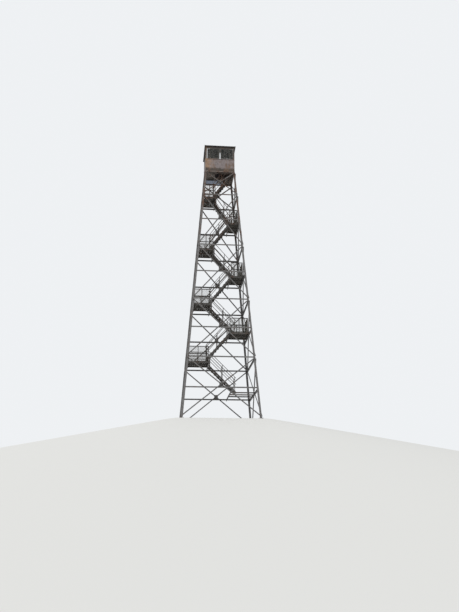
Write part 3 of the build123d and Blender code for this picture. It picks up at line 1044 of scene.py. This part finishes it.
def stained(paint):
    """Paint washed tan with rust at the near left corner, darker brown at its foot, and
    painted shade for the eaves' shadow above the sills."""

    def shade(tree):
        x, y, height = coordinates(tree)
        blotch = cloudy(tree, object_place(tree), scale=6.5, detail=10.0, roughness=0.75)
        blotch = calculated(tree, "MULTIPLY", blotch, wash_ragged)
        from_corner = calculated(tree, "ADD", calculated(tree, "ADD", x, y), blotch)
        washed = blended(tree, stepped(tree, from_corner, *wash_reach, 0.9, 0), paint, rust_wash)

        # Darker brown towards the foot of the wall, with a ragged edge
        ragged = cloudy(tree, object_place(tree, stretch=(1, 1, 0.4)), scale=4.5, detail=7.0)
        ragged = calculated(tree, "MULTIPLY", ragged, foot_dark_ragged)
        ragged_height = calculated(tree, "SUBTRACT", height, ragged)
        foot_dark_from, foot_dark_to = (tower_height + rise for rise in foot_dark_rise)
        darker_foot = stepped(tree, ragged_height, foot_dark_from, foot_dark_to, 1, 0)
        eave_shade_from, eave_shade_to = (sill_top + rise for rise in eave_shade_rise)
        # Painted shade: above the sills the paint turns dark brown, standing in for the eaves'
        # shadow
        upper = stepped(tree, height, eave_shade_from, eave_shade_to, 0, 0.85)
        return blended(tree, calculated(tree, "MAXIMUM", darker_foot, upper), washed, foot_brown_and_eave_shade)

    return shade


wall_paint = coated_steel(
    "wall_paint",
    clean=stained((0.252, 0.214, 0.214)),
    dull=stained((0.160, 0.136, 0.134)),
    rust_from=0.48,
    rust_to=0.64,
    rust_tones=wall_rust,
)
dress([f"cab_{side}_wall" for side in sides], wall_paint)
# The posts and the top plate reach above the sills, and take the painted eave shade there
dress(["cab_posts", "cab_top_plate"], wall_paint)


# Each wall is three sheets, with a cover strip over each upright joint, a lap across the
# middle, a sill folded along the top and a flashing along the foot. Rivets hold the strips
# and the flashing, and the sheets to the corner posts.
wall_inset = 0.010
corner_post = 0.080
wall_face = cab_half - wall_inset
wall_half = cab_half - corner_post
strip_width = 0.060
strip_thickness = 0.004
strip_short = 0.060
lap_height = 0.035
lap_proud = 0.006
lap_rise = 0.52 * sill_height
lap_slant = 0.004
sill_fold = 0.040
sill_proud = 0.030
sill_drop = 0.018
flashing_height = 0.075
flashing_proud = 0.006
flashing_over = 0.004
flashing_drop = 0.012
flashing_kick = 0.008
taper = 0.45
sheet_edge = 0.0012


def on_cab(turn):
    """The turn that takes the near side of the cab to another side."""
    return Matrix.Rotation(math.radians(turn), 4, "Z")


def flat_bar(width, proud, height, face, middle_height, x=0.0):
    """A flat bar on the near side of the cab, proud of one of its faces."""
    return block((width, proud, height), (x, -face - proud / 2, middle_height))


strip_lines = (-wall_half / 3, wall_half / 3)
strip_middle = tower_height + sill_height / 2
fittings = []
for x in strip_lines:
    fittings.append(
        flat_bar(strip_width, strip_thickness, sill_height - strip_short, wall_face, strip_middle, x)
    )
lap = flat_bar(2 * wall_half, lap_proud, lap_height, wall_face, tower_height + lap_rise)
bpy.ops.object.mode_set(mode="EDIT")
pick_faces(lambda middle, normal: normal.y < -0.5)
bpy.ops.transform.translate(value=(0, 0, lap_slant))
bpy.ops.object.mode_set(mode="OBJECT")
sill = flat_bar(2 * wall_half, sill_proud, sill_fold, wall_face, sill_top - sill_drop)
bpy.ops.object.mode_set(mode="EDIT")
pick_faces(lambda middle, normal: normal.y < -0.5)
bpy.ops.transform.resize(value=(1, 1, taper))
bpy.ops.object.mode_set(mode="OBJECT")
flashing = flat_bar(
    2 * (cab_half + flashing_over),
    flashing_proud,
    flashing_height,
    cab_half,
    tower_height - flashing_drop,
)
bpy.ops.object.mode_set(mode="EDIT")
pick_faces(lambda middle, normal: normal.z < -0.5)
bpy.ops.transform.translate(value=(0, -flashing_kick, 0))
bpy.ops.object.mode_set(mode="OBJECT")
fittings += [lap, sill, flashing]
for fitting in fittings:
    bpy.context.view_layer.objects.active = fitting
    eased(fitting, sheet_edge)

rivet_radius = 0.007
rivet_flatness = 0.5
rivet_pitch = 0.095
strip_rivets = 9
strip_rivet_foot = 0.070
strip_rivet_out = 0.021
flashing_rivets = 20
flashing_rivet_rise = 0.010
post_rivets = 10
post_rivet_foot = 0.100
post_rivet_in = 0.022
nothing_selected()
bpy.ops.mesh.primitive_uv_sphere_add(
    segments=8, ring_count=6, radius=rivet_radius, rotation=(math.pi / 2, 0, 0)
)
rivet = bpy.context.object
rivet.scale = (1, rivet_flatness, 1)
settle()
bpy.ops.object.mode_set(mode="EDIT")
bpy.ops.mesh.select_all(action="SELECT")
bpy.ops.mesh.bisect(plane_co=(0, 0, 0), plane_no=(0, 1, 0), use_fill=True, clear_outer=True)
bpy.ops.object.mode_set(mode="OBJECT")
rivet_spots = []
for x in strip_lines:
    for out in (-strip_rivet_out, strip_rivet_out):
        for index in range(strip_rivets):
            z = tower_height + strip_rivet_foot + index * rivet_pitch
            rivet_spots.append((x + out, -wall_face - strip_thickness, z))
for index in range(flashing_rivets):
    x = (index - (flashing_rivets - 1) / 2) * rivet_pitch
    rivet_spots.append((x, -cab_half - flashing_proud, tower_height + flashing_rivet_rise))
for index in range(post_rivets):
    z = tower_height + post_rivet_foot + 2 * index * rivet_pitch
    for end in (-1, 1):
        rivet_spots.append((end * (cab_half - post_rivet_in), -cab_half, z))
fittings.append(set_out(rivet, [Matrix.Translation(spot) for spot in rivet_spots]))
wall_trim = set_out(joined(fittings), [on_cab(turn) for turn in sides.values()])
finished(wall_trim, "wall_strips", wall_paint)


# The windows are folded steel, two to a side: a sash round each pane and a cross of glazing bars.
# White enamel lasts on the centre posts and the left corners, and has gone elsewhere.
window_height = 0.88
window_bar = 0.050
mullion = 0.060
pane_width = (2 * wall_half - 2 * window_bar - mullion) / 2
pane_height = window_height - 2 * window_bar
pane_middle = sill_top + window_height / 2
window_thickness = 0.040
pane_y = -wall_face + window_thickness / 2
bar_width = 0.020
bar_depth = 0.026
bar_edge = 0.004
sash_width = 0.028
sash_depth = 0.032
sash_edge = 0.002
post_reach = (0.036, 0.050)
post_peel = (-0.038, 0.142)
corner_reach = (0.925, 0.940)


def kept_enamel(white, bare):
    """White enamel where it lasts, and what is under it elsewhere, with a few white scraps."""

    def shade(tree):
        x, y, height = coordinates(tree)
        sideways = (calculated(tree, "ABSOLUTE", axis, 0) for axis in (x, y))
        from_middle = calculated(tree, "MINIMUM", *sideways)
        peel_from, peel_to = (pane_middle + rise for rise in post_peel)
        low_down = stepped(tree, height, peel_from, peel_to, 1, 0)
        post = stepped(tree, from_middle, *post_reach, 1, 0)
        post = calculated(tree, "MULTIPLY", post, low_down)
        to_left = stepped(tree, x, -0.1, 0.1, 1, 0)
        corner = stepped(tree, from_middle, *corner_reach)
        corner = calculated(tree, "MULTIPLY", corner, to_left)
        flakes = cloudy(tree, object_place(tree), scale=3.1, detail=6.0)
        scraps = stepped(tree, flakes, 0.58, 0.66, 0, 0.6)
        kept = calculated(tree, "MAXIMUM", calculated(tree, "MAXIMUM", post, corner), scraps)
        return blended(tree, kept, bare, white)

    return shade


window_paint = coated_steel(
    "window_paint",
    clean=kept_enamel(white=(0.64, 0.66, 0.68), bare=(0.088, 0.082, 0.076)),
    dull=kept_enamel(white=(0.52, 0.53, 0.54), bare=(0.052, 0.048, 0.044)),
    rust_from=0.56,
    rust_to=0.66,
)
dress([f"cab_{side}_windows" for side in sides], window_paint)
bars = []
for x in (-(pane_width + mullion) / 2, (pane_width + mullion) / 2):
    sash = block((pane_width, sash_depth, pane_height), (x, pane_y, pane_middle))
    bpy.ops.object.mode_set(mode="EDIT")
    pick_faces(lambda middle, normal: abs(normal.y) > 0.5)
    bpy.ops.mesh.inset(thickness=sash_width)
    bpy.ops.mesh.bridge_edge_loops()
    bpy.ops.object.mode_set(mode="OBJECT")
    bars.append(eased(sash, sash_edge))
    upright = block((bar_width, bar_depth, pane_height - sash_width), (x, pane_y, pane_middle))
    bars.append(eased(upright, bar_edge))
    level = block((pane_width - sash_width, bar_depth, bar_width), (x, pane_y, pane_middle))
    bars.append(eased(level, bar_edge))
glazing = set_out(joined(bars), [on_cab(turn) for turn in sides.values()])
finished(glazing, "glazing_bars", window_paint)


# The panes are plain sheet glass, bedded in the sashes. Rain has drawn the dirt on them into
# streaks, and the empty cab shows dimly through.
clean_glass = (0.014, 0.016, 0.015)
dirty_glass = (0.092, 0.088, 0.076)
pane, tree = new_material("pane")
dirt = cloudy(tree, object_place(tree), scale=5.0, detail=8.0)
streaked = object_place(tree, stretch=(7, 7, 0.9))
film = cloudy(tree, streaked, scale=1.0, detail=6.0, roughness=0.65)
surface(
    tree,
    Base_Color=blended(tree, stepped(tree, film, 0.42, 0.72), clean_glass, dirty_glass),
    Roughness=stepped(tree, dirt, 0.3, 0.7, 0.12, 0.5),
    Alpha=0.52,
)
dress(["cab_glass"], pane)


# The roof is a low pyramid of dark steel sheet. Standing seams run down each slope, a roll
# covers each hip, a small cap closes the top, and the eaves end in a folded drip.
roof_coat = coated_steel(
    "roof_coat",
    clean=(0.046, 0.041, 0.038),
    dull=(0.026, 0.023, 0.021),
    rust_from=0.54,
    rust_to=0.68,
    shine=0.8,
)
dress(["cab_roof"], roof_coat)
roof_overhang = 0.076
roof_half = cab_half + roof_overhang
eave_height = 1.93
roof_edge = 0.060
roof_rise = 0.400
roof_top_half = 0.040
edge_top = tower_height + eave_height + roof_edge
roof_fall = math.atan(roof_rise / (roof_half - roof_top_half))
seam_height = 0.018
seam_width = 0.014
seam_pitch = 0.36
seam_sink = 0.001
seam_under_cap = 0.010
drip_width = 0.010
drip_height = 0.016
drip_rise = 0.006
drip_out = 0.006
drip_half = roof_half + drip_out
drip_edge = 0.004
roll_radius = 0.017
roll_end = 0.004
cap_half = 0.135
cap_skirt = 0.024
cap_edge = 0.002
cap_lap = 0.006
cap_top_half = roof_top_half + cap_lap
cap_sink = 0.0002
cap_top = edge_top + roof_rise - cap_sink


def roof_height(from_middle):
    """The height of the roof at a distance from its middle."""
    return edge_top + (roof_half - from_middle) * math.tan(roof_fall)


seams = []
for offset in (-2, -1, 0, 1, 2):
    x = offset * seam_pitch
    upper = max(abs(x), cap_half - seam_under_cap)
    middle_out = (roof_half + upper) / 2
    length = (roof_half - upper) / math.cos(roof_fall)
    seam = block((seam_width, length, seam_height), (0, 0, seam_height / 2))
    bpy.ops.object.mode_set(mode="EDIT")
    pick_faces(lambda middle, normal: normal.z > 0.5)
    bpy.ops.transform.resize(value=(taper, 1, 1))
    bpy.ops.object.mode_set(mode="OBJECT")
    foot = Matrix.Translation((x, -middle_out, roof_height(middle_out) - seam_sink))
    seam.matrix_world = foot @ Matrix.Rotation(roof_fall, 4, "X")
    settle()
    seams.append(seam)
drip = block(
    (2 * drip_half - drip_width - fit_gap, drip_width, drip_height),
    (
        -(drip_width + fit_gap) / 2,
        -drip_half + drip_width / 2,
        edge_top - roof_edge + drip_rise,
    ),
)
seams.append(eased(drip, drip_edge, segments=2))

hip_start = Vector((-roof_half, -roof_half, edge_top))
hip_end = Vector((-cap_half, -cap_half, roof_height(cap_half)))
hip = hip_end - hip_start
nothing_selected()
add_round(12, roll_radius, -hip.length / 2, hip.length / 2)
roll = bpy.context.object
bpy.ops.object.mode_set(mode="EDIT")
pick_faces(lambda middle, normal: abs(normal.z) > 0.9)
bpy.ops.mesh.inset(thickness=roll_end)
bpy.ops.object.mode_set(mode="OBJECT")
bpy.ops.object.shade_smooth_by_angle(angle=math.radians(40))
along_hip = hip.to_track_quat("Z", "Y").to_matrix().to_4x4()
roll.matrix_world = Matrix.Translation((hip_start + hip_end) / 2) @ along_hip
settle()
seams.append(roll)
roof_seams = set_out(joined(seams), [on_cab(turn) for turn in sides.values()])
finished(roof_seams, "roof_seams", roof_coat)

cap_foot = roof_height(cap_half) - cap_skirt / 2
cap = block((2 * cap_half, 2 * cap_half, cap_skirt), (0, 0, cap_foot + cap_skirt / 2))
bpy.ops.object.mode_set(mode="EDIT")
pick_faces(lambda middle, normal: normal.z > 0.5)
cap_rise = cap_top - cap_foot - cap_skirt
bpy.ops.mesh.extrude_region_move(TRANSFORM_OT_translate={"value": (0, 0, cap_rise)})
bpy.ops.transform.resize(value=(cap_top_half / cap_half, cap_top_half / cap_half, 1))
bpy.ops.object.mode_set(mode="OBJECT")
finished(eased(cap, cap_edge), "roof_cap", roof_coat)


# The picture shows the colours as they are, and the box round the tower and the pieces
# above is measured.
bpy.context.scene.view_settings.view_transform = "Standard"
low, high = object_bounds()
